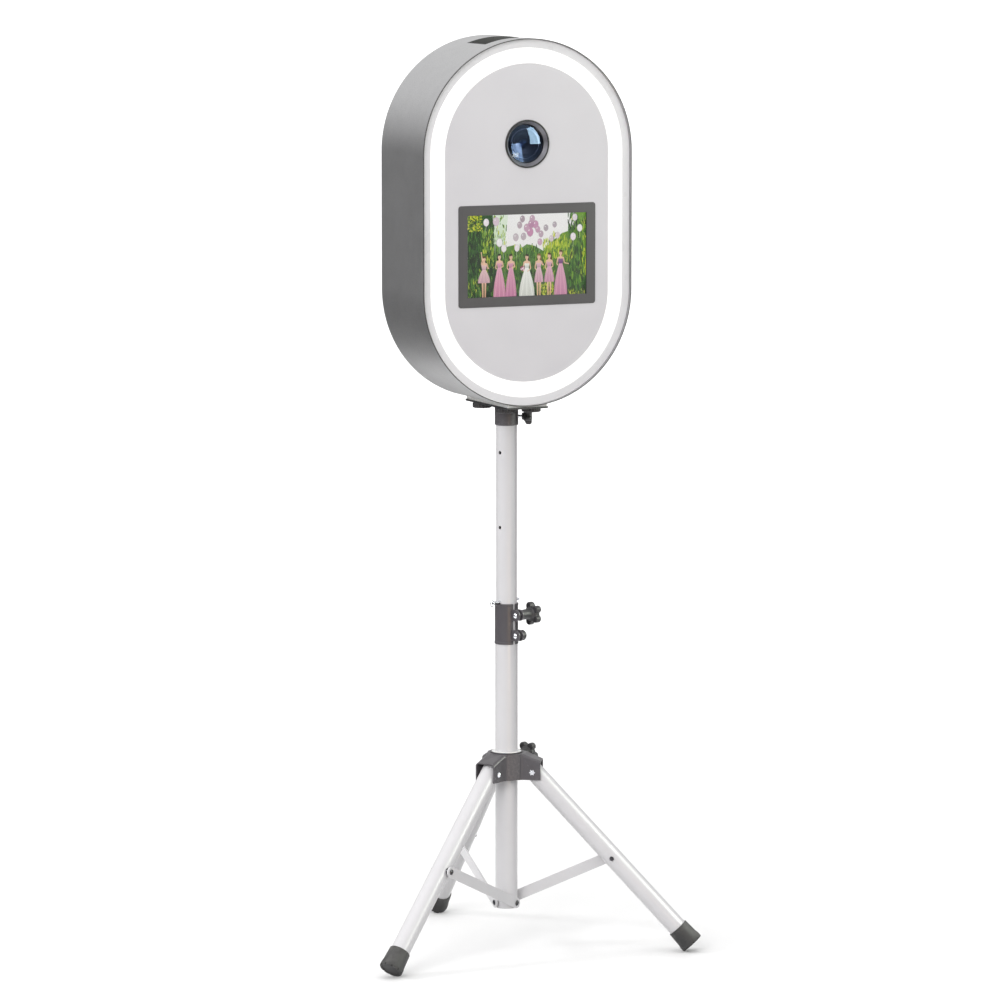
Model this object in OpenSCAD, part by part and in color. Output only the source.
// Photo booth: an oval head with a ring light, a camera and a display, on a telescopic mast
// that stands on a folding tripod. Millimetres, +Z up. The origin is on the floor at the
// mast's axis, and the head faces -Y.

/* [Head] */
// Width of the head
head_w = 380; // [340:1:460]
// Height of the head
head_h = 610; // [560:1:740]
// Depth of the head from the front lip to the rear door
head_d = 173; // [160:1:220]
// How far the front lip stands ahead of the mast's axis
head_front = 87; // [80:1:105]
// Thickness of the rolled shell sheet
wall = 1.5; // [1:0.1:2.5]
// How deep the front panel sits behind the lip
lip_depth = 6; // [3:0.5:12]
// Thickness of the acrylic front pieces
panel_t = 3; // [2:0.5:5]
// Thickness of the inner sheet-metal pieces
sheet = 1.5; // [1:0.1:2.5]

/* [Ring light] */
// Margin between the head's outline and the diffuser
ring_margin = 15; // [12:0.5:22]
// Width of the diffuser ring
ring_w = 26; // [20:0.5:34]
// Depth of the light's tray
tray_d = 17; // [12:1:26]
// Number of light chips on each half-round end
arc_chips = 14; // [6:1:20]
// Number of light chips on each straight side
side_chips = 6; // [3:1:10]

/* [Display] */
// Width of the display's visible area
screen_w = 217; // [180:1:222]
// Height of the display's visible area
screen_h = 135.6; // [110:0.1:150]
// Width of the display's frame around the visible area
bezel_w = 16.5; // [10:0.5:18]
// How far the display's centre is below the head's centre
screen_drop = 53; // [50:1:60]

/* [Camera] */
// Outer diameter of the lens ring on the front panel
lens_d = 80; // [60:1:84]
// How far the lens is above the head's centre
lens_rise = 131; // [128:1:136]
// Camera body width, depth and height
camera_size = [118, 52, 90]; // [50:1:130]

/* [Carry recess] */
// Length of the opening in the top of the head
recess_w = 124; // [90:1:130]
// Width of the opening, front to back
recess_d = 74; // [50:1:80]
// Depth of the recess
recess_h = 46; // [30:1:60]

/* [Mast] */
// Outer diameter of the upper tube
upper_d = 35; // [30:0.5:38]
// Wall of the upper tube
upper_wall = 1.2; // [1:0.1:2.5]
// Wall of the lower tube
lower_wall = 1.23; // [1:0.01:2.5]
// Height of the lower tube's open end above the floor
lower_z = 68; // [55:1:90]
// Length of the lower tube
lower_len = 507; // [480:1:640]
// Length of the upper tube above the safety pin
upper_above = 330; // [280:1:420]
// Length of the upper tube below the safety pin
upper_below = 342; // [320:1:380]
// Distance between the pin holes
hole_pitch = 126.5; // [100:0.5:140]
// Diameter of the safety pin
pin_d = 5.6; // [4:0.1:7]

/* [Clamp] */
// Height of the clamp collar
collar_h = 69; // [55:1:85]
// How far the collar reaches above the lower tube
collar_neck = 14; // [10:1:20]
// Width of the collar's slot
slot_w = 5.6; // [3:0.2:7]
// Distance of the clamp bolts from the mast's axis
ear_reach = 28.5; // [27:0.5:34]

/* [Tripod] */
// Angle of a spread leg from the vertical
spread = 43; // [32:1:46]
// Length of a leg from its pivot to the foot's end
leg_reach = 397; // [340:1:480]
// Diameter of a leg tube
leg_d = 32; // [26:0.5:34]
// Wall of a leg tube
leg_wall = 1.5; // [1:0.1:3]
// Distance of the leg pivots from the mast's axis
pivot_r = 46; // [44:0.5:54]
// Distance along the leg from its pivot to the brace
brace_down = 198; // [160:1:230]
// Width of a brace bar
brace_w = 18; // [14:0.5:22]
// Thickness of a brace bar
brace_t = 3; // [2:0.5:4]
// Diameter of a foot's end
foot_d = 40; // [37:0.5:46]
// Length of a foot
foot_len = 37; // [28:1:50]

/* [Hub] */
// Height of the hub's side panels
hub_h = 43; // [40:1:54]
// Thickness of the hub's sheet
hub_t = 2; // [1.5:0.1:3]
// Side gap between a leg and the hub's cheeks
cheek_gap = 1.5; // [1:0.1:2.5]

/* [Knobs] */
// Tip radius of the star knobs
knob_r = 20.4; // [16:0.2:22]
// Thickness of the star knobs
knob_t = 11.5; // [8:0.5:16]
// Diameter of the plate's thumb knobs
thumb_d = 32; // [24:1:36]

/* [Hidden] */
$fn = 64;

// Clearances
run_gap = 0.07;   // between a shaft and the bore it turns or slides in
fit_gap = 0.15;   // between fixed pieces that are pushed together
part_gap = 0.5;   // between flat pieces that pass each other
eps = 0.1;        // how far a cut runs past a face

// Colours
white_coat = "#e6e4e7";
dark_grey = "#555358";
black = "#1c1c1e";
rubber = "#333335";
chrome = "#d9dadd";
side_grey = "#8f9092";
zinc = "#b9bcc0";

// Bolts
m6_r = 3;
m5_r = 2.5;
head_bolt_r = 4.6;
dome_h = 2.6;

// Heights along the mast, from the floor up
upper_r = upper_d / 2;
lower_r = upper_r + run_gap + lower_wall;
lower_top = lower_z + lower_len;
collar_top = lower_top + collar_neck;
collar_z = collar_top - collar_h;
pin_z = collar_top + pin_d / 2 + run_gap;
mast_top = pin_z + upper_above;
mast_end = pin_z - upper_below;
socket_cap = 3.2;
plate_t = 3;
plate_z = mast_top + socket_cap + 0.3;
pad_t = 1.5;
head_low = plate_z + plate_t + pad_t;
head_z = head_low + head_h / 2;

// Depths through the head, from the front back
panel_y = -head_front + lip_depth;
panel_back = panel_y + panel_t;
tray_back = panel_back + tray_d;
head_back = head_d - head_front;
door_t = 2;
door_y = head_back - door_t;
gasket_t = 1.4;
flange_y = door_y - 0.2 - gasket_t - sheet;
ledge_w = 7;
flange_w = 19;
ring_in = ring_margin + ring_w;
tray_flange = 21;
straight = head_h - head_w;

// Display and lens
screen_z = head_z - screen_drop;
bezel_out = [screen_w + 2 * bezel_w, screen_h + 2 * bezel_w];
bezel_lip = 3;
bezel_proud = 1.2;
bezel_back = panel_back + 4;
glass_rim = 4.2;
glass_t = 1.6;
lcd_t = 4;
housing_t = 16;
housing_back = bezel_back + housing_t;
strap_t = 2;
lens_z = head_z + lens_rise;
barrel_r = lens_d / 2 - 4.5;
glass_r = barrel_r - 3.2;
barrel_back = panel_y + 62;
shelf_z = lens_z - camera_size[2] / 2 - sheet;

// Tripod
foot_flat = 0.8;
foot_r = foot_d / 2;
leg_r = leg_d / 2;
pivot_z = leg_reach * cos(spread) + foot_r * sin(spread) - foot_flat;
leg_above = 10;
leg_start = 208;
foot_floor = 5;
brace_z = lower_z + 9;
brace_y = lower_r + part_gap;
brace_out = [pivot_r + brace_down * sin(spread), pivot_z - brace_down * cos(spread)];
brace_run = [brace_out[0], brace_out[1] - brace_z];
brace_len = norm(brace_run);
brace_rise = atan2(brace_run[1], brace_run[0]);

// Hub
cheek_in = leg_r + cheek_gap;
cheek_out = cheek_in + hub_t;
hub_reach = pivot_r + 14;
hub_z = pivot_z - 13;
hub_top = hub_z + hub_h + 1;
hub_face = lower_r + 13.2;
hub_lip_r = lower_r + 8.5;
bush_r = lower_r + 6.2;
roof_from = hub_face;
roof_drop = 23;

// Directions around the mast's axis
clamp_dir = 288;
pin_dir = 205.5;
socket_dir = 331;
hub_knob_dir = 28;

// --- shared shapes ---

// The head's outline, moved inwards
module oval(inset) {
  square([head_w - 2 * inset, straight], center = true);
  for (end = [-1, 1])
    translate([0, end * straight / 2]) circle(d = head_w - 2 * inset, $fn = 128);
}

module oval_ring(from, to) difference() {
  oval(from);
  oval(to);
}

// Stands a flat outline upright in the head, from depth y to y + t
module upright(y, t, z = head_z)
  translate([0, y + t, z]) rotate([90, 0, 0]) linear_extrude(t) children();

module round_rect(size, r) {
  square([size[0] - 2 * r, size[1]], center = true);
  square([size[0], size[1] - 2 * r], center = true);
  for (x = [-1, 1], y = [-1, 1])
    translate([x * (size[0] / 2 - r), y * (size[1] / 2 - r)]) circle(r);
}

// A button head that rises h above z = 0
module dome(r, h) {
  ball = (r * r + h * h) / (2 * h);
  intersection() {
    translate([0, 0, h - ball]) sphere(ball, $fn = 240);
    cylinder(r = r + 1, h = h + 1);
  }
}

module at_leg(i) rotate([0, 0, leg_start + 120 * i]) children();

// Local +Z runs down the leg from its pivot, and local +X points in and down
module down_leg(i)
  at_leg(i) translate([pivot_r, 0, pivot_z]) rotate([0, 180 - spread, 0]) children();

// Local +Z runs along +Y of the frame it is called in
module across() rotate([-90, 0, 0]) children();

// Local +Z runs along local +X
module outwards() rotate([0, 90, 0]) children();

module star(tip_r, lobes) {
  lobe = tip_r * 0.3;
  circle(tip_r - lobe - 0.5);
  for (i = [0 : lobes - 1])
    rotate(i * 360 / lobes) translate([tip_r - lobe, 0]) circle(lobe);
}

// Star knob on a blind bore: the stem starts at z = 0 and the star ends it
module star_knob(stem, bore) difference() {
  union() {
    cylinder(r = 8.5, h = stem + eps);
    translate([0, 0, stem - 4]) cylinder(r1 = 8.5, r2 = 12, h = 4);
    translate([0, 0, stem]) linear_extrude(knob_t) star(knob_r, 5);
  }
  translate([0, 0, -eps]) cylinder(r = bore, h = stem - 2);
}

// --- lower tube and clamp ---

module lower_tube() color(white_coat) difference() {
  translate([0, 0, lower_z]) cylinder(r = lower_r, h = lower_len);
  translate([0, 0, lower_z - eps]) cylinder(r = upper_r + run_gap, h = lower_len + 2 * eps);
  for (i = [0 : 2])
    at_leg(i) translate([0, 0, brace_z]) across() cylinder(r = m5_r, h = lower_r + 1);
}

module tube_rivets() color(chrome) for (i = [0 : 2]) {
  head_at = brace_y + brace_t + 0.3;
  at_leg(i) translate([0, 0, brace_z]) across() {
    translate([0, 0, upper_r - 1.6]) cylinder(r = m5_r, h = head_at - upper_r + 1.6 + eps);
    intersection() {
      translate([0, 0, lower_r - 1]) cylinder(r = 6.5, h = brace_y - lower_r + 0.8);
      difference() {
        translate([0, 0, lower_r - 1]) cylinder(r = 7, h = 3);
        translate([0, 20, 0]) rotate([90, 0, 0]) cylinder(r = lower_r, h = 40);
      }
    }
    translate([0, 0, head_at]) dome(head_bolt_r, dome_h);
  }
}

bolt_heights = [collar_top - 18.5, collar_top - 53];
ear_t = 3.2;
ear_r = 9.5;
ear_side = slot_w / 2 + ear_t;
collar_r = lower_r + 1.3;

module at_clamp_bolt(z) rotate([0, 0, clamp_dir]) translate([ear_reach, 0, z]) across() children();

module clamp_collar() color(dark_grey) difference() {
  union() {
    translate([0, 0, collar_z]) cylinder(r = collar_r, h = collar_h);
    for (z = bolt_heights) {
      at_clamp_bolt(z) translate([0, 0, -ear_side]) cylinder(r = ear_r, h = 2 * ear_side);
      rotate([0, 0, clamp_dir]) translate([upper_r - 2, -ear_side, z - ear_r])
        cube([ear_reach - upper_r + 2, 2 * ear_side, 2 * ear_r]);
    }
  }
  translate([0, 0, collar_z - eps]) cylinder(r = lower_r, h = lower_top - collar_z + eps);
  translate([0, 0, collar_z]) cylinder(r = upper_r + run_gap, h = collar_h + eps);
  rotate([0, 0, clamp_dir]) translate([0, -slot_w / 2, collar_z - eps])
    cube([ear_reach + 2 * ear_r, slot_w, collar_h + 2 * eps]);
  for (z = bolt_heights)
    at_clamp_bolt(z) translate([0, 0, -ear_side - 1]) cylinder(r = m6_r, h = 2 * ear_side + 2);
}

clamp_stem = 21;
knob_at = ear_side + 0.3;
nut_t = 7;

module clamp_bolts() color(chrome) for (i = [0 : 1]) at_clamp_bolt(bolt_heights[i]) {
  tail = i == 0 ? knob_at + clamp_stem - 4 : ear_side + nut_t - 1.5;
  translate([0, 0, -ear_side]) cylinder(r = m6_r, h = ear_side + tail);
  translate([0, 0, -ear_side]) rotate([180, 0, 0]) {
    cylinder(r = 5, h = 1.6);
    translate([0, 0, 1.6]) dome(4.7, 2.2);
  }
}

module clamp_nut() color(black) at_clamp_bolt(bolt_heights[1]) difference() {
  translate([0, 0, ear_side]) cylinder(r = 9, h = nut_t);
  translate([0, 0, ear_side - eps]) cylinder(r = m6_r, h = nut_t - 1.4);
}

module clamp_knob() color(black)
  at_clamp_bolt(bolt_heights[0]) translate([0, 0, knob_at])
    rotate(36) star_knob(clamp_stem, m6_r + run_gap);

// --- hub ---

// Where a cheek bends into the flat panel between two legs
function bend_r(half, face) = (face - half * sin(60)) / cos(60);

module hub_plan(half, face, reach) polygon([
  for (i = [0 : 2], p = [[bend_r(half, face), -half], [reach, -half],
                         [reach, half], [bend_r(half, face), half]])
    let (a = leg_start + 120 * i)
      [p[0] * cos(a) - p[1] * sin(a), p[0] * sin(a) + p[1] * cos(a)]
]);

// The hub's roof: level around the mast and sloping down over each leg
module hub_roof(half, corner, top) {
  deep = 70;
  translate([0, 0, hub_z - 1]) cylinder(r = hub_face + 1.5, h = top - hub_z + 1);
  for (i = [0 : 2]) at_leg(i) translate([roof_from, 0, top]) rotate([0, roof_drop, 0])
    translate([-20, 0, -deep / 2]) rotate([90, 0, 90])
      linear_extrude(90) round_rect([2 * half + 1, deep], corner);
}

module hub_block(half, face, reach, corner, from, top) intersection() {
  translate([0, 0, from]) linear_extrude(top - from) hub_plan(half, face, reach);
  hub_roof(half, corner, top);
}

module hub() color(dark_grey) difference() {
  union() {
    hub_block(cheek_out, hub_face, hub_reach, 7, hub_z, hub_top);
    translate([0, 0, hub_top - 1]) cylinder(r = hub_lip_r, h = 3);
  }
  hub_block(cheek_in, hub_face - hub_t, hub_reach + 1, 5, hub_z - 1, hub_top - hub_t);
  translate([0, 0, hub_z - 1]) cylinder(r = bush_r, h = hub_h + 6);
  for (i = [0 : 2]) at_leg(i) translate([pivot_r, 0, pivot_z]) across()
    translate([0, 0, -cheek_out - 1]) cylinder(r = m6_r, h = 2 * cheek_out + 2);
  rotate([0, 0, hub_knob_dir]) translate([0, 0, hub_knob_z]) outwards()
    cylinder(r = m6_r, h = hub_face + 2);
}

hub_knob_z = hub_top - 9;
hub_knob_at = hub_face + 0.3;
hub_stem = 22;

module hub_bush() color(white_coat) difference() {
  translate([0, 0, hub_z + 9]) cylinder(r = bush_r, h = hub_top + 2.4 - hub_z - 9);
  translate([0, 0, hub_z]) cylinder(r = lower_r + run_gap, h = hub_h + 6);
  rotate([0, 0, hub_knob_dir]) translate([0, 0, hub_knob_z]) outwards()
    cylinder(r = m6_r + run_gap, h = hub_face);
}

module leg_pivot_bolts() color(chrome) for (i = [0 : 2])
  at_leg(i) translate([pivot_r, 0, pivot_z]) across() {
    translate([0, 0, -cheek_out - 1.5]) cylinder(r = m6_r, h = 2 * cheek_out + 1.5 + eps);
    translate([0, 0, cheek_out]) dome(head_bolt_r, dome_h);
    translate([0, 0, -cheek_out - 1.4]) linear_extrude(1.4) lock_star(5.6);
  }

// Six-pointed spring lock on a bolt's end
module lock_star(r) union() {
  circle(r, $fn = 3);
  rotate(60) circle(r, $fn = 3);
}

module hub_knob() color(black) rotate([0, 0, hub_knob_dir]) translate([0, 0, hub_knob_z]) outwards() {
  translate([0, 0, hub_knob_at]) star_knob(hub_stem, m6_r);
  translate([0, 0, lower_r + 0.4]) cylinder(r = m6_r, h = hub_stem);
}

// --- legs and braces ---

module leg(i) color(white_coat) difference() {
  down_leg(i) translate([0, 0, -leg_above])
    cylinder(r = leg_r, h = leg_reach - foot_floor + leg_above);
  down_leg(i) translate([0, 0, -leg_above - eps])
    cylinder(r = leg_r - leg_wall, h = leg_reach + leg_above);
  down_leg(i) across() translate([0, 0, -leg_r - 1]) cylinder(r = m6_r + run_gap, h = leg_d + 2);
  down_leg(i) translate([0, 0, brace_down]) across()
    translate([0, 0, -leg_r - 1]) cylinder(r = m5_r, h = leg_d + 2);
}

notches = 10;

module foot(i) color(rubber) difference() {
  down_leg(i) rotate_extrude() polygon([
    [leg_r, leg_reach - foot_len], [leg_r + 1.3, leg_reach - foot_len],
    [foot_r - 1, leg_reach - foot_len * 0.35], [foot_r, leg_reach - foot_len * 0.2],
    [foot_r, leg_reach], [0, leg_reach],
    [0, leg_reach - foot_floor], [leg_r, leg_reach - foot_floor],
  ]);
  down_leg(i) for (k = [1 : notches - 1])
    rotate(k * 360 / notches) translate([foot_r - 2, -1.1, leg_reach - 2.2]) cube([4, 2.2, 4]);
  at_leg(i) translate([leg_reach * sin(spread) - 40, -foot_d, -10]) cube([120, 2 * foot_d, 10]);
}

// Bolt across the leg: its saddle carries the brace's end
module brace_bolt(i) color(chrome) down_leg(i) translate([0, 0, brace_down]) across() {
  difference() {
    translate([0, 0, leg_r - 3]) cylinder(r = 6.5, h = brace_y - part_gap - leg_r + 3);
    rotate([90, 0, 0]) translate([0, 0, -20]) cylinder(r = leg_r, h = 40);
  }
  translate([0, 0, -leg_r - 3.2]) cylinder(r = m5_r, h = leg_d + 5);
  translate([0, 0, -leg_r - 2.2]) cylinder(r = 4, h = 2, $fn = 6);
}

module brace(i) color(white_coat) at_leg(i) translate([0, brace_y + brace_t, brace_z])
  rotate([90, 0, 0]) linear_extrude(brace_t) rotate(brace_rise) difference() {
    union() {
      translate([0, -brace_w / 2]) square([brace_len, brace_w]);
      circle(d = brace_w);
      translate([brace_len, 0]) circle(d = brace_w);
    }
    circle(m5_r + run_gap);
    translate([brace_len, 0]) circle(m5_r);
  }

module brace_rivet(i) color(chrome)
  at_leg(i) translate([brace_out[0], brace_y, brace_out[1]]) across() {
    cylinder(r = m5_r, h = brace_t + eps);
    translate([0, 0, brace_t]) dome(head_bolt_r, dome_h);
  }

// --- upper tube ---

pin_hole_r = pin_d / 2 + run_gap;

module upper_tube() color(white_coat) difference() {
  translate([0, 0, mast_end]) cylinder(r = upper_r, h = mast_top - mast_end);
  translate([0, 0, mast_end - eps]) cylinder(r = upper_r - upper_wall, h = mast_top - mast_end + 1);
  for (k = [-2 : 2])
    rotate([0, 0, pin_dir]) translate([-upper_r - 1, 0, pin_z + k * hole_pitch]) outwards()
      cylinder(r = pin_hole_r, h = upper_d + 2);
}

module guide_plug() color(black) {
  translate([0, 0, mast_end - 3]) cylinder(r = upper_r - 0.3, h = 3);
  translate([0, 0, mast_end - eps]) cylinder(r = upper_r - upper_wall, h = 14);
}

pin_front = 36;
pin_rear = 32;
ring_r = 5;
wire_r = 0.9;

module safety_pin() color(chrome) rotate([0, 0, pin_dir]) translate([0, 0, pin_z]) {
  difference() {
    translate([-pin_rear, 0, 0]) outwards() cylinder(r = pin_d / 2, h = pin_front + pin_rear);
    translate([pin_front - 3, 0, -pin_d]) cylinder(r = wire_r + 1, h = 2 * pin_d);
  }
  translate([pin_front - 3 + ring_r, 0, 0]) rotate([90, 0, 0])
    rotate_extrude() translate([ring_r, 0]) circle(wire_r, $fn = 24);
}

// --- socket, plate and thumb knobs ---

socket_r = upper_r + 2.2;
socket_h = 34.5;
socket_z = plate_z - socket_h;
knurl_h = 11;
socket_knob_z = plate_z - 20;

module head_socket() color(dark_grey) difference() {
  union() {
    translate([0, 0, socket_z]) cylinder(r = socket_r, h = socket_h - knurl_h);
    translate([0, 0, plate_z - knurl_h]) linear_extrude(knurl_h) {
      circle(socket_r - 0.8);
      for (k = [0 : 23]) rotate(k * 15) translate([socket_r - 0.9, 0]) circle(1, $fn = 24);
    }
  }
  translate([0, 0, socket_z - eps]) cylinder(r = upper_r + run_gap, h = socket_h - socket_cap + eps);
  rotate([0, 0, socket_dir]) translate([0, 0, socket_knob_z]) outwards()
    cylinder(r = m5_r + run_gap, h = socket_r + 2);
}

module socket_knob() color(black)
  rotate([0, 0, socket_dir]) translate([0, 0, socket_knob_z]) outwards() {
    translate([0, 0, upper_r + 0.3]) cylinder(r = m5_r, h = 12);
    translate([0, 0, upper_r + 8.5]) cylinder(r1 = 6, r2 = 11.5, h = 6.5);
    translate([0, 0, upper_r + 15]) linear_extrude(10) star(14, 5);
  }

plate_size = [78, 170];
thumb_x = 24;
thumb_y = 46;

module at_thumbs() for (x = [-1, 1], y = [-1, 1])
  translate([x * thumb_x, y * thumb_y, plate_z]) children();

module mount_plate() color(black) difference() {
  translate([0, 0, plate_z]) linear_extrude(plate_t) round_rect(plate_size, 6);
  at_thumbs() translate([0, 0, -1]) cylinder(r = m6_r, h = plate_t + 2);
}

module saddle_pad() color(rubber) difference() {
  translate([0, 0, plate_z + plate_t]) linear_extrude(10)
    square([plate_size[0] - 6, plate_size[1] - 6], center = true);
  translate([0, -head_front, head_z - straight / 2]) across()
    cylinder(d = head_w, h = head_d, $fn = 480);
  at_thumbs() cylinder(r = m6_r, h = 20);
}

thumb_h = 9;

module plate_knobs() color(black) at_thumbs() {
  translate([0, 0, -thumb_h]) linear_extrude(thumb_h) difference() {
    circle(d = thumb_d);
    for (k = [0 : 19]) rotate(k * 18) translate([thumb_d / 2 + 0.7, 0]) circle(1.6, $fn = 24);
  }
  translate([0, 0, -eps]) cylinder(r = m6_r, h = plate_t + pad_t + wall + 9);
}

// --- shell and front ---

recess_y = -50;

module recess_block(inset, deep)
  translate([-recess_w / 2 + inset, recess_y + inset, head_z + head_h / 2 - deep])
    cube([recess_w - 2 * inset, recess_d - 2 * inset, deep + 20]);

module shell() color(side_grey) difference() {
  union() {
    upright(-head_front, head_d) oval_ring(0, wall);
    upright(panel_back, sheet) oval_ring(wall / 2, wall + ledge_w);
  }
  recess_block(0, 40);
  at_thumbs() cylinder(r = m6_r, h = 20);
}

// Ring that is welded into the shell for the door's gasket
module door_flange() color(side_grey)
  upright(flange_y, sheet) oval_ring(wall, wall + flange_w);

recess_wall = 2;

module carry_recess() color(black) intersection() {
  upright(recess_y, recess_d) oval(0);
  difference() {
    recess_block(fit_gap, recess_h);
    recess_block(recess_wall, recess_h - recess_wall);
  }
}

module front_rim() color("#dedee0")
  upright(panel_y, panel_t) oval_ring(wall + fit_gap, ring_margin - fit_gap);

module front_panel() color("#d8d6d9") upright(panel_y, panel_t) difference() {
  oval(ring_in + fit_gap);
  translate([0, lens_rise]) circle(barrel_r + 1.5 + fit_gap);
  translate([0, -screen_drop])
    square([bezel_out[0] - 2 * bezel_lip + 2 * fit_gap, bezel_out[1] - 2 * bezel_lip + 2 * fit_gap],
           center = true);
}

module led_diffuser() color("#ffffff") upright(panel_y, panel_t) oval_ring(ring_margin, ring_in);

// Hat-shaped channel: its flanges carry the rim, the diffuser and the panel
module led_tray() color(zinc) {
  outer = ring_margin + 2;
  inner = ring_in - 2;
  upright(panel_back, sheet) oval_ring(wall + ledge_w + fit_gap, outer + sheet);
  upright(panel_back, tray_d) oval_ring(outer, outer + sheet);
  upright(tray_back - sheet, sheet) oval_ring(outer, inner);
  upright(panel_back, tray_d) oval_ring(inner - sheet, inner);
  upright(panel_back, sheet) oval_ring(inner - sheet, inner + tray_flange);
}

strip_t = 1.4;
chip_h = 1;
chip = 4;

module led_strip() color("#f4f1d8") {
  mid = ring_margin + ring_w / 2;
  upright(tray_back - sheet - strip_t, strip_t) oval_ring(mid - 5, mid + 5);
  upright(tray_back - sheet - strip_t - chip_h, chip_h + eps)
    for (half = [0, 180]) rotate(half) {
      for (k = [0 : arc_chips - 1])
        translate([0, straight / 2]) rotate((k + 0.5) * 180 / arc_chips)
          translate([head_w / 2 - mid, 0]) square(chip, center = true);
      for (k = [0 : side_chips - 1])
        translate([head_w / 2 - mid, ((k + 0.5) / side_chips - 0.5) * straight])
          square(chip, center = true);
    }
}

// --- display ---

module display_bezel() color("#4d4a50") difference() {
  union() {
    upright(panel_y - bezel_proud, bezel_proud, screen_z) round_rect(bezel_out, 4.5);
    upright(panel_y - eps, bezel_back - panel_y + eps, screen_z)
      square([bezel_out[0] - 2 * bezel_lip, bezel_out[1] - 2 * bezel_lip], center = true);
  }
  upright(panel_y - 5, 30, screen_z) square([screen_w, screen_h], center = true);
  upright(panel_y, 30, screen_z)
    square([screen_w + 2 * glass_rim + 2 * fit_gap, screen_h + 2 * glass_rim + 2 * fit_gap],
           center = true);
}

module display_glass() color("#20262a", 0.5)
  upright(panel_y, glass_t, screen_z)
    square([screen_w + 2 * glass_rim, screen_h + 2 * glass_rim], center = true);

module display_panel() color("#7fa05a")
  upright(panel_y + glass_t, lcd_t, screen_z)
    square([screen_w + 2 * glass_rim, screen_h + 2 * glass_rim], center = true);

module display_housing() color(black) difference() {
  upright(bezel_back, housing_t, screen_z)
    round_rect([bezel_out[0] - 2 * bezel_lip - 2, bezel_out[1] - 2 * bezel_lip - 2], 4);
  upright(bezel_back - 1, housing_t - 1, screen_z)
    square([screen_w + 2 * glass_rim, screen_h + 2 * glass_rim], center = true);
}

strap_x = 70;
strap_w = 16;

// Two hat-shaped straps that hold the display's back to the front panel
module display_straps() color(zinc) for (side = [-1, 1]) {
  half = bezel_out[1] / 2 + 3;
  foot = 14;
  translate([side * strap_x - strap_w / 2, 0, screen_z]) rotate([90, 0, 90]) linear_extrude(strap_w)
    polygon([
      [panel_back, half + foot], [panel_back + strap_t, half + foot],
      [panel_back + strap_t, half + strap_t], [housing_back + strap_t, half + strap_t],
      [housing_back + strap_t, -half - strap_t], [panel_back + strap_t, -half - strap_t],
      [panel_back + strap_t, -half - foot], [panel_back, -half - foot],
      [panel_back, -half], [housing_back, -half], [housing_back, half], [panel_back, half],
    ]);
}

// --- camera ---

// Turns an outline of [radius, -depth] points about the lens axis
module on_lens_axis() translate([0, 0, lens_z]) rotate([90, 0, 0]) rotate_extrude($fn = 96) children();

module lens_bezel() color(black) on_lens_axis() polygon([
  [barrel_r + fit_gap, -panel_back - 3], [barrel_r + 1.5, -panel_back - 3], [barrel_r + 1.5, -panel_y],
  [lens_d / 2, -panel_y], [lens_d / 2, -panel_y + 1.4], [lens_d / 2 - 0.8, -panel_y + 2.2],
  [barrel_r + fit_gap, -panel_y + 2.2],
]);

// Depths of the barrel's steps behind the front glass, and the radius that each one leaves
lens_seat = 7;
lens_steps = [[7, 0.92], [11, 0.8], [15, 0.68], [19, 0.56]];

module lens_barrel() color(black) difference() {
  on_lens_axis() polygon(concat(
    [[barrel_r, -barrel_back], [barrel_r, -panel_y + 1.2], [glass_r + fit_gap, -panel_y + 1.2],
     [glass_r + fit_gap, -panel_y - lens_seat]],
    [for (k = [0 : 3]) each [[glass_r * lens_steps[k][1], -panel_y - lens_steps[k][0]],
                             [glass_r * lens_steps[k][1], -panel_y - lens_steps[k][0] - 4]]],
    [[glass_r * 0.56, -barrel_back]]
  ));
}

module lens_front_glass() color("#1f3350", 0.6)
  translate([0, panel_y + lens_seat, lens_z]) rotate([90, 0, 0]) {
    cylinder(r = glass_r, h = 1.2);
    translate([0, 0, 1.2]) dome(glass_r - 0.2, lens_seat - 1.2 + 0.6);
  }

module lens_iris() color("#101014") difference() {
  upright(panel_y + 30, 2, lens_z) circle(glass_r * 0.56);
  upright(panel_y + 28, 6, lens_z) circle(6, $fn = 7);
}

module camera_body() color(black) difference() {
  union() {
    upright(barrel_back, camera_size[1], shelf_z + sheet + camera_size[2] / 2)
      round_rect([camera_size[0], camera_size[2]], 8);
    upright(barrel_back, camera_size[1] + 6, shelf_z + sheet + camera_size[2] / 2)
      round_rect([camera_size[0] * 0.7, camera_size[2] * 0.7], 4);
  }
  upright(barrel_back - 1, 6, lens_z) circle(glass_r * 0.56);
}

module camera_shelf() color(zinc) {
  half = head_w / 2 - ring_in - 1;
  depth = barrel_back + camera_size[1] - panel_back - sheet;
  translate([-half, panel_back + sheet, shelf_z]) cube([2 * half, depth, sheet]);
  for (side = [-1, 1])
    translate([side * (half - 9) - 9, panel_back + sheet, shelf_z])
      cube([18, sheet, 30]);
}

// --- electronics ---

unit_size = [152, 28, 104];
supply_size = [120, 40, 42];

module control_unit() color("#2b2c30") difference() {
  upright(housing_back + strap_t, unit_size[1], screen_z)
    round_rect([unit_size[0], unit_size[2]], 5);
  for (k = [-5 : 5]) translate([k * 11, housing_back + strap_t + unit_size[1], screen_z])
    cube([4, 4, 60], center = true);
}

module power_supply() color(zinc)
  translate([-supply_size[0] / 2, panel_back, head_low + ring_in + tray_flange + 22])
    cube(supply_size);

// --- rear door ---

hinge_x = head_w / 2 - 6.4;
hinge_y = head_back + 3;
knuckle_r = 3;
hinge_heights = [head_z - 80, head_z + 80];
knuckle = 20;
hinge_pin_r = 1.5;
door_edge = wall + 1.2;
inlet_z = head_low + 74;
inlet_plate = [54, 32];
inlet_body = [48, 27];
lock_x = -head_w / 2 + 40;
lock_r = 9.5;

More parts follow.
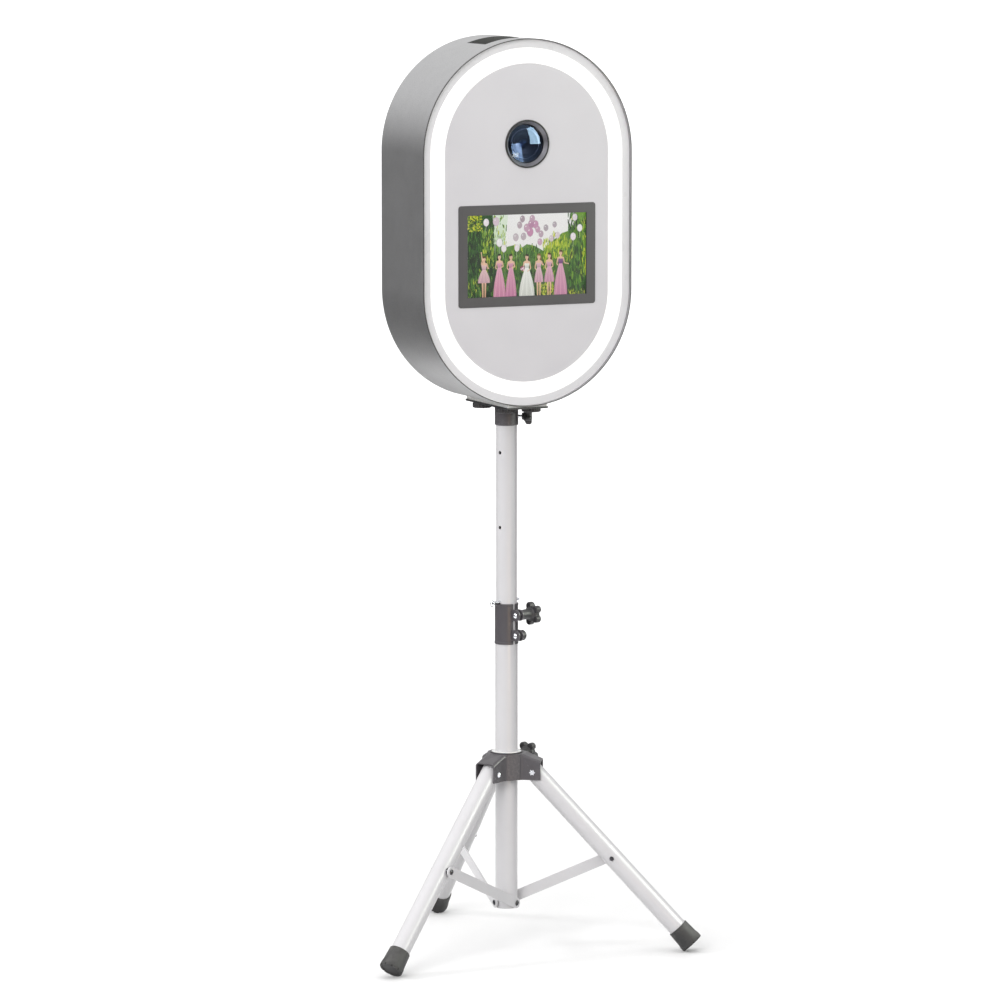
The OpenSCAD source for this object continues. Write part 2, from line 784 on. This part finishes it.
module rear_door() color(side_grey) difference() {
  union() {
    difference() {
      upright(door_y, door_t) oval(door_edge);
      for (z = hinge_heights)
        translate([hinge_x - 2, door_y - 1, z - 1.7 * knuckle])
          cube([20, door_t + 2, 3.4 * knuckle]);
    }
    for (z = hinge_heights) {
      translate([hinge_x - 28, head_back - eps, z - 1.5 * knuckle])
        cube([28, sheet + eps, 3 * knuckle]);
      translate([hinge_x, hinge_y, z - 1.5 * knuckle]) cylinder(r = knuckle_r, h = 3 * knuckle);
    }
  }
  for (z = hinge_heights) {
    translate([hinge_x - knuckle_r - 1, head_back - 1, z - knuckle / 2 - 0.3])
      cube([12, 12, knuckle + 0.6]);
    translate([hinge_x, hinge_y, z - 2 * knuckle])
      cylinder(r = hinge_pin_r + run_gap, h = 4 * knuckle);
  }
  upright(door_y - 1, door_t + 2) {
    for (row = [0 : 7], x = [-48, 48])
      translate([x, 70 + row * 12]) round_rect([72, 4], 1.9);
  }
  upright(door_y - 1, door_t + 2, inlet_z)
    square([inlet_body[0] + 2 * fit_gap, inlet_body[1] + 2 * fit_gap], center = true);
  upright(door_y - 1, door_t + 2) translate([lock_x, 0]) circle(lock_r + run_gap);
}

// Leaves on the shell's wall with the middle knuckles and their pins
module door_hinges() color(zinc) for (z = hinge_heights) {
  translate([0, 0, z - knuckle / 2]) {
    translate([hinge_x, hinge_y, 0]) cylinder(r = knuckle_r, h = knuckle);
    translate([head_w / 2 - wall - sheet, flange_y + sheet, 0])
      cube([sheet, hinge_y - flange_y - sheet, knuckle]);
    translate([hinge_x, head_back + 0.4, 0])
      cube([head_w / 2 - wall - hinge_x, sheet, knuckle]);
  }
  translate([hinge_x, hinge_y, z - 1.5 * knuckle - 1])
    cylinder(r = hinge_pin_r, h = 3 * knuckle + 2);
}

cam_len = 27;
cam_y = flange_y - 6;

// Plug, head and cam turn together; the cam points up when unlocked
module door_lock() color(zinc) difference() {
  union() {
    upright(head_back + 0.2, 3, head_z) translate([lock_x, 0]) circle(lock_r + 2);
    upright(cam_y, head_back + 0.3 - cam_y, head_z) translate([lock_x, 0]) circle(lock_r);
    upright(cam_y, 2, head_z) translate([lock_x, cam_len / 2]) round_rect([12, cam_len + 10], 4);
  }
  upright(head_back + 1, 4, head_z) translate([lock_x, 0]) square([2, 8], center = true);
}

module door_gasket() color(rubber)
  upright(flange_y + sheet, gasket_t) oval_ring(wall + flange_w - 8, wall + flange_w);

inlet_x = -10.5;
rocker_x = 15;
inlet_hole = [27, 19];
rocker_hole = [12, 20.6];
inlet_deep = 18;
plate_proud = 2;
rocker_axis_y = head_back + 0.5;
rocker_tilt = 8;

// Appliance inlet with three pins and a window for the rocker
module power_inlet() color(black) {
  difference() {
    union() {
      upright(head_back, plate_proud, inlet_z) round_rect(inlet_plate, 3);
      upright(door_y - 22, 22 + door_t + eps, inlet_z) square(inlet_body, center = true);
    }
    upright(head_back + plate_proud - inlet_deep, inlet_deep + 1, inlet_z)
      translate([inlet_x, 0]) square(inlet_hole, center = true);
    upright(head_back + plate_proud - 13, 14, inlet_z)
      translate([rocker_x, 0]) square(rocker_hole, center = true);
    translate([rocker_x, rocker_axis_y, inlet_z]) outwards()
      cylinder(r = 1 + run_gap, h = rocker_hole[0] + 2, center = true);
  }
  upright(head_back + plate_proud - inlet_deep - 1, 12, inlet_z) translate([inlet_x, 0])
    for (p = [[-7, -2], [7, -2], [0, 3]]) translate(p) square([2, 5], center = true);
}

module power_switch() color("#b01c1c")
  translate([rocker_x, rocker_axis_y, inlet_z]) rotate([rocker_tilt, 0, 0]) {
    translate([-rocker_hole[0] / 2 + 0.4, 0, 0]) rotate([90, 0, 90])
      linear_extrude(rocker_hole[0] - 0.8)
        polygon([[-3, -8.4], [2.4, -9.3], [4.6, -9.3], [3.2, 0], [4.6, 9.3], [2.4, 9.3], [-3, 8.4]]);
    outwards() cylinder(r = 1, h = rocker_hole[0] + 1.6, center = true);
  }

// --- assembly ---

lower_tube();
tube_rivets();
clamp_collar();
clamp_bolts();
clamp_nut();
clamp_knob();
hub();
hub_bush();
leg_pivot_bolts();
hub_knob();
leg(0);  // leg_1
leg(1);  // leg_2
leg(2);  // leg_3
foot(0);  // foot_1
foot(1);  // foot_2
foot(2);  // foot_3
brace_bolt(0);  // brace_bolt_1
brace_bolt(1);  // brace_bolt_2
brace_bolt(2);  // brace_bolt_3
brace(0);  // brace_1
brace(1);  // brace_2
brace(2);  // brace_3
brace_rivet(0);  // brace_rivet_1
brace_rivet(1);  // brace_rivet_2
brace_rivet(2);  // brace_rivet_3
upper_tube();
guide_plug();
safety_pin();
head_socket();
socket_knob();
mount_plate();
saddle_pad();
plate_knobs();
shell();
door_flange();
carry_recess();
front_rim();
front_panel();
led_diffuser();
led_tray();
led_strip();
display_bezel();
display_glass();
display_panel();
display_housing();
display_straps();
lens_bezel();
lens_barrel();
lens_front_glass();
lens_iris();
camera_body();
camera_shelf();
control_unit();
power_supply();
power_inlet();
power_switch();
rear_door();
door_hinges();
door_lock();
door_gasket();
